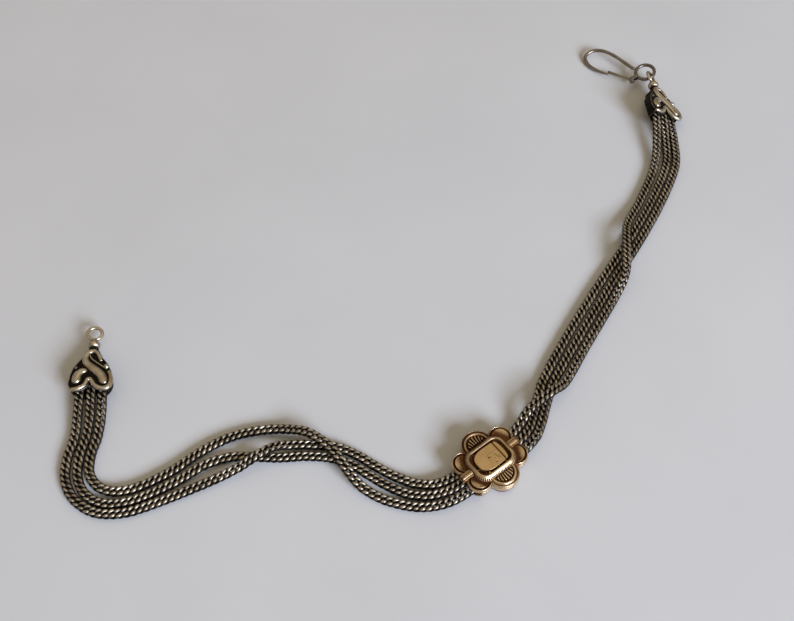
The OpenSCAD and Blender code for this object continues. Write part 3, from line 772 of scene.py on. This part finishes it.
def fan(side):
    """Ribs fanned out from near the slide's middle, inside a raised crescent and a lip."""
    fanned_from = 0.6
    half_rib = math.radians(3.9)
    # One side's fan is painted darker than the other's: painted shade on the fan that faces away
    # from the window light.
    painted_shade_factor = 1.0 if side < 0 else 0.45

    def ribs(x, y, r):
        from_middle = np.arctan2(x, side * y - fanned_from)
        rib = 0.5 + 0.5 * np.cos(from_middle / half_rib * math.pi)
        inside = (1 - soft_step(r, 2.05, 2.25)) * soft_step(side * y, 4.1, 4.5)
        return 1 - (1 - rib) ** 1.8, inside

    def height(x, y, r):
        rib, inside = ribs(x, y, r)
        shelf = 0.14 * (1 - soft_step(r, 2.1, 2.3))
        crescent = 0.5 * np.exp(-(np.abs(r - 2.74) / 0.36) ** 3)
        lip = 0.3 * hump(r, 3.46, 0.15)
        return 0.05 + shelf + 0.42 * rib * inside + crescent + lip

    def polish(x, y, r):
        rib, inside = ribs(x, y, r)
        smooth = 0.85 * soft_step(r, 2.3, 2.5) - 0.5 * hump(r, 3.18, 0.1)
        return painted_shade_factor * (0.12 + 0.95 * rib * inside + smooth)

    return height, polish


PETAL_CENTERS = [(sx * PETAL[0], sy * PETAL[1]) for sx in (-1, 1) for sy in (-1, 1)]
FAN_CENTERS = [(0, sy * FAN_Y) for sy in (-1, 1)]
petals = [relief(center, PETAL_R - DISC_INSET, *petal(*center)) for center in PETAL_CENTERS]
fans = [relief(center, FAN_R - DISC_INSET, *fan(np.sign(center[1])), rows=110, cols=420)
        for center in FAN_CENTERS]
for name, discs, node in (("slide_petals_cupped", petals, "slide_petals"),
                          ("slide_fans_ribbed", fans, "slide_fans")):
    shape = joined(*[(verts, faces) for verts, faces, wear in discs])
    worn = np.concatenate([wear for verts, faces, wear in discs])
    piece(name, *shape, GILT, "slide", (node,), wear=worn, slot="gilt")


# The middle line of the bezel
BEZEL_HALF_X = 4.95
BEZEL_HALF_Y = 3.65
BEZEL_CORNER_R = 2.3
BEZEL_GAP = 0.05


def rounded_path(half_x, half_y, r, gap):
    """Points round a rounded rectangle, with the outward direction at each."""
    points = []
    for cx, cy, start in ((1, 1, 0), (-1, 1, 90), (-1, -1, 180), (1, -1, 270)):
        x, y = cx * (half_x - r), cy * (half_y - r)
        for a in np.radians(np.linspace(start, start + 90, 24)):
            points.append((x + r * math.cos(a), y + r * math.sin(a)))
    points.append(points[0])
    path = even_path(np.array(points), gap)[:-1]
    ahead = headings(path, closed=True)
    return path, np.stack([ahead[:, 1], -ahead[:, 0]], axis=1)


# The bezel's section, from its outer foot over its top to the plaque: how far it stands
# out of its middle line, how high it is, and what share of the notches' depth is cut there
BEZEL_SECTION = [
    (0.58, 0.0, 0), (0.6, 0.1, 0), (0.55, 0.28, 0.2), (0.46, 0.46, 1), (0.34, 0.62, 1),
    (0.2, 0.78, 0.6), (0.06, 0.92, 0), (-0.06, 1.02, 0), (-0.16, 1.1, 0), (-0.3, 1.2, 0),
    (-0.44, 1.22, 0), (-0.58, 1.16, 0), (-0.68, 0.98, 0), (-0.76, 0.72, 0),
    (-0.84, 0.5, 0), (-0.95, 0.4, 0)]
NOTCH_PITCH = 0.4
NOTCH_IN = 0.12
NOTCH_DOWN = 0.04


def milled_bezel():
    """The raised frame round the plaque, its outer shoulder milled with notches."""
    path, out = rounded_path(BEZEL_HALF_X, BEZEL_HALF_Y, BEZEL_CORNER_R, BEZEL_GAP)
    count = len(path)
    notches = round(count * BEZEL_GAP / NOTCH_PITCH)
    phase = np.cos(2 * math.pi * notches * np.arange(count) / count)
    section = np.array(BEZEL_SECTION)
    ends, fine = np.linspace(0, 1, len(section)), np.linspace(0, 1, 34)
    push, rise, deep = (np.interp(fine, ends, section[:, k])[None] for k in range(3))
    notch = deep * (0.5 + 0.5 * phase[:, None]) ** 1.5
    verts = np.zeros((count, len(fine), 3))
    verts[..., :2] = path[:, None] + (push - NOTCH_IN * notch)[..., None] * out[:, None]
    verts[..., 2] = TOP_Z + rise - NOTCH_DOWN * notch
    # Its far side is painted darker, as painted shade away from the window light, and the notches
    # keep the most oxide.
    painted_shade = 0.3 * soft_step(path[:, 1] - 0.4 * path[:, 0], -1.5, 2.5)
    wear = 0.72 - painted_shade[:, None] - 0.68 * notch
    return verts.reshape(-1, 3), grid_faces(count, len(fine), True, False), wear.ravel()


# Fine cuts across the plaque: x, y, degrees, half length, depth
CUTS = [(0.6, 0.75, 4, 1.9, 0.035), (-0.4, -0.5, 82, 1.3, 0.03), (1.35, -0.6, 97, 0.9, 0.05),
        (1.75, -1.0, 95, 0.6, 0.05), (-1.3, 1.4, 28, 0.8, 0.025)]
# Small pits in it: x, y, size
PITS = [(-0.1, 0.1, 0.13), (0.15, -0.1, 0.1), (0.7, -0.75, 0.11), (0.45, -1.7, 0.16),
        (-0.35, 0.05, 0.16), (-0.9, 1.5, 0.07)]


def plaque_plate():
    """The plaque: a flat table with a groove near one end, fine cuts and small pits."""
    rows, cols = 150, 200
    half_x, half_y, table = 3.68, 2.68, 1.08
    uu, vv = np.meshgrid(np.linspace(-1, 1, cols), np.linspace(-1, 1, rows))
    # How far the sides bend in towards the corners, more at the end away from the groove
    rounded = np.where(uu < 0, 0.26, 0.13)
    x = half_x * (uu * (1 - rounded * np.abs(vv) ** 3.4)) + 0.02
    y = half_y * (vv * (1 - 1.1 * rounded * np.abs(uu) ** 3.4)) + 0.03
    edge = np.maximum(np.abs(uu), np.abs(vv))
    z = table - 0.5 * soft_step(edge, 0.93, 1.0) ** 1.5 - 0.05 * soft_step(edge, 0.0, 0.93)
    groove = hump(x, 2.55, 0.14)
    z += 0.02 * soft_step(x, 2.7, 2.9) - 0.2 * groove
    # What is cut into the plaque or falls off at its edge holds oxide
    dark = 0.8 * groove + 0.7 * soft_step(edge, 0.94, 1.0)
    for px, py, turn, half, deep in CUTS:
        a = math.radians(turn)
        along = (x - px) * math.cos(a) + (y - py) * math.sin(a)
        off = (y - py) * math.cos(a) - (x - px) * math.sin(a)
        cut = hump(off, 0, 0.06) * (1 - soft_step(np.abs(along), half * 0.7, half))
        z -= deep * cut
        dark += 14 * deep * cut
    for px, py, size in PITS:
        pit = hump(np.hypot(x - px, y - py), 0, size)
        z -= 0.09 * pit
        dark += 0.9 * pit
    top = np.stack([x, y, TOP_Z + z], axis=-1)
    verts = top.reshape(-1, 3)
    faces = grid_faces(rows, cols)
    corner = rows * cols - 1
    ring = (list(range(cols)) + list(range(2 * cols - 1, corner, cols))
            + list(range(corner, corner - cols, -1)) + list(range(corner - 2 * cols + 1, 0, -cols)))
    foot = verts[ring].copy()
    foot[:, 2] = TOP_Z + 0.4
    base = len(verts)
    count = len(ring)
    faces += [(ring[(k + 1) % count], ring[k], base + k, base + (k + 1) % count)
              for k in range(count)]
    faces.append(tuple(base + k for k in range(count)))
    wear = np.clip(np.concatenate([0.75 - dark.ravel(), np.zeros(count)]), 0, 1)
    return np.concatenate([verts, foot]), faces, wear


def fluted_boss(side):
    """Half a fluted round bar that runs outward from the bezel and rounds off at its end."""
    rows, cols = 60, 60
    start, length, half_width, rise = 5.0, 3.06, 0.98, 0.72
    u = np.linspace(0, 1, rows)[:, None]
    a = np.linspace(0, math.pi, cols)[None]
    fall = np.sqrt(np.clip(1 - ((u - 0.72) / 0.28).clip(0, 1) ** 2, 0, 1))
    flute = 1.04 + 0.2 * (np.abs(np.sin(a * 3)) ** 0.8 - 0.75)
    x = np.repeat(start + length * u, cols, 1)
    y = -half_width * np.cos(a) * flute * (0.75 + 0.25 * fall)
    z = TOP_Z + rise * np.sin(a) * flute * (0.35 + 0.65 * fall) - SUNK
    verts = np.stack([side * x, side * y, z], axis=-1).reshape(-1, 3)
    return verts, grid_faces(rows, cols, False, False, True)


verts, faces, wear = milled_bezel()
piece("slide_bezel_milled", verts, faces, GILT, "slide", ("slide_bezel",), wear=wear,
      slot="gilt")
verts, faces, wear = plaque_plate()
piece("slide_plaque_cut", verts, faces, PLAQUE, "slide", ("slide_plaque",), wear=wear,
      slot="gilt_plaque")
piece("slide_bosses_fluted", *joined(fluted_boss(-1), fluted_boss(1)), GILT, "slide",
      ("slide_bosses",), slot="gilt")
for node, voxel, polish in (("slide_top", 0.09, 0.62), ("slide_base", 0.11, 0.4)):
    cast(node, GILT, "slide", voxel=voxel, rounds=12, polish=polish)


# The side band's outer face: height, and how far in from the slide's outline it is
BAND_SECTION = [(0.4, 0.74), (0.6, 0.7), (0.9, 0.58), (1.2, 0.45), (1.5, 0.33), (1.8, 0.22),
                (2.1, 0.13), (2.4, 0.06), (2.7, 0.02), (2.95, 0.0), (3.05, 0.0)]


def outline(angle):
    """A point of the slide's outline, in one direction from its middle."""
    d = np.array([math.cos(angle), math.sin(angle)])
    reach = 0.0
    circles = [(*center, PETAL_R) for center in PETAL_CENTERS]
    circles += [(*center, FAN_R) for center in FAN_CENTERS]
    for cx, cy, r in circles:
        along = cx * d[0] + cy * d[1]
        room = r ** 2 - (cx * cx + cy * cy - along * along)
        if room > 0:
            reach = max(reach, along + math.sqrt(room))
    return reach * d


def side_wall():
    """The side band on each side of the tunnel, drawn in towards its foot."""
    first, steps = 0.2, 901
    loop = BAND_SECTION + [(z, inset + WALL) for z, inset in BAND_SECTION[::-1]]
    edge = np.array([outline(a) for a in np.linspace(first, math.pi - first, steps)])
    ahead = headings(edge)
    # Each pass eases the corners that the outline has between its circles
    for _ in range(6):
        ahead = headings(np.cumsum(ahead, axis=0))
    inward = np.stack([-ahead[:, 1], ahead[:, 0]], axis=1)
    # The band ends where its inner face would enter the tunnel
    deepest = edge + (loop[0][1] + WALL) * inward
    outside = np.flatnonzero(deepest[:, 1] > MOUTH_HALF - 0.1)
    keep = slice(outside[0], outside[-1] + 1)
    shapes = []
    for side in (-1, 1):
        verts = [(side * (x + inset * nx), side * (y + inset * ny), z)
                 for (x, y), (nx, ny) in zip(edge[keep], inward[keep]) for z, inset in loop]
        shapes.append((verts, grid_faces(keep.stop - keep.start, len(loop), False, True, True)))
    return joined(*shapes)


verts, faces = relaxed(*side_wall(), voxel=0.09, rounds=14)
# The band is painted darker at its foot, as painted shade under its overhang, and lighter higher
# up.
wear = 0.35 + 0.5 * soft_step(verts[:, 2], 1.0, 2.2)
piece("slide_side_wall", verts, faces, GILT, "slide", ("slide_band",), wear=wear, slot="gilt")


# ---------------------------------------------------------------- room
PAPER_COOL = (0.55, 0.555, 0.59)
PAPER_LIGHT = (0.58, 0.585, 0.62)
PAPER_Z = -0.02
PAPER_HALF_M = 1.6


def paper():
    """Plain grey paper with a slow change of tone and a fine grain."""
    mat, nt, bsdf = new_material("paper")
    pos = coords_mm(nt)
    cloud = noise(nt, pos, 0.02, 3.0)
    grain = noise(nt, pos, 2.5, 6.0, 0.7)
    nt.links.new(ramp(nt, cloud, (0.3, PAPER_COOL), (0.7, PAPER_LIGHT)),
                 bsdf.inputs["Base Color"])
    bsdf.inputs["Roughness"].default_value = 0.85
    bump = put(nt, "Bump", Strength=0.12, Distance=0.02 * MM, Height=grain)
    nt.links.new(bump.outputs[0], bsdf.inputs["Normal"])
    return mat


def flat_sheet(name, size, z, material):
    """A square sheet of the room, its half size in metres and its height in millimetres."""
    mesh = bpy.data.meshes.new(name)
    bm = bmesh.new()
    bmesh.ops.create_grid(bm, x_segments=8, y_segments=8, size=size)
    for v in bm.verts:
        v.co.z = z * MM
    bm.to_mesh(mesh)
    bm.free()
    mesh.materials.append(material)
    obj = bpy.data.objects.new(name, mesh)
    bpy.context.scene.collection.objects.link(obj)


flat_sheet("paper", PAPER_HALF_M, PAPER_Z, paper())

# Where the frame's origin is in the photo axes
PHOTO_ORIGIN = (20, 110.7)


def photo_axes(x, y, z):
    """A place in millimetres: x to the picture's right and y away from the camera."""
    turn = math.radians(CAMERA_TURN)
    x, y = x - PHOTO_ORIGIN[0], y - PHOTO_ORIGIN[1]
    return Vector((x * math.cos(turn) - y * math.sin(turn),
                   x * math.sin(turn) + y * math.cos(turn), z)) * MM


def area_light(name, at, look, size, power, color):
    """A rectangular light: place, aim and size in millimetres, and power in watts."""
    data = bpy.data.lights.new(name, "AREA")
    data.shape = "RECTANGLE"
    data.size, data.size_y = (s * MM for s in size)
    data.energy = power
    data.color = color
    lamp = bpy.data.objects.new(name, data)
    lamp.location = photo_axes(*at)
    lamp.rotation_euler = (photo_axes(*look) - lamp.location).to_track_quat("-Z", "Y").to_euler()
    bpy.context.scene.collection.objects.link(lamp)


area_light("window", at=(920, -960, 730), look=(20, 110, 0), size=(700, 580), power=38.5,
           color=(0.775, 0.86, 1.0))
area_light("sky", at=(60, 420, 1000), look=(20, 160, 0), size=(900, 900), power=0.9,
           color=(1.0, 0.87, 0.64))

# The warm light of the room, from dim below to brighter above, broken up by soft noise
ROOM_STRENGTH = 0.78
ROOM_TONES = ((0.3, (0.16, 0.12, 0.075)), (0.62, (0.42, 0.34, 0.225)),
              (0.95, (0.56, 0.475, 0.335)))
world = bpy.data.worlds.new("room")
world.use_nodes = True
wnt = world.node_tree
aim = put(wnt, "TexCoord")
up = put(wnt, "SeparateXYZ", i0=aim.outputs["Generated"])
clouds = noise(wnt, aim.outputs["Generated"], 1.6, 2.0)
height = math_node(wnt, "MULTIPLY_ADD", clouds, 0.5, up.outputs["Z"])
room = ramp(wnt, height, *ROOM_TONES)
wnt.links.new(room, wnt.nodes["Background"].inputs[0])
wnt.nodes["Background"].inputs[1].default_value = ROOM_STRENGTH
bpy.context.scene.world = world
bpy.context.scene.view_settings.view_transform = "Standard"
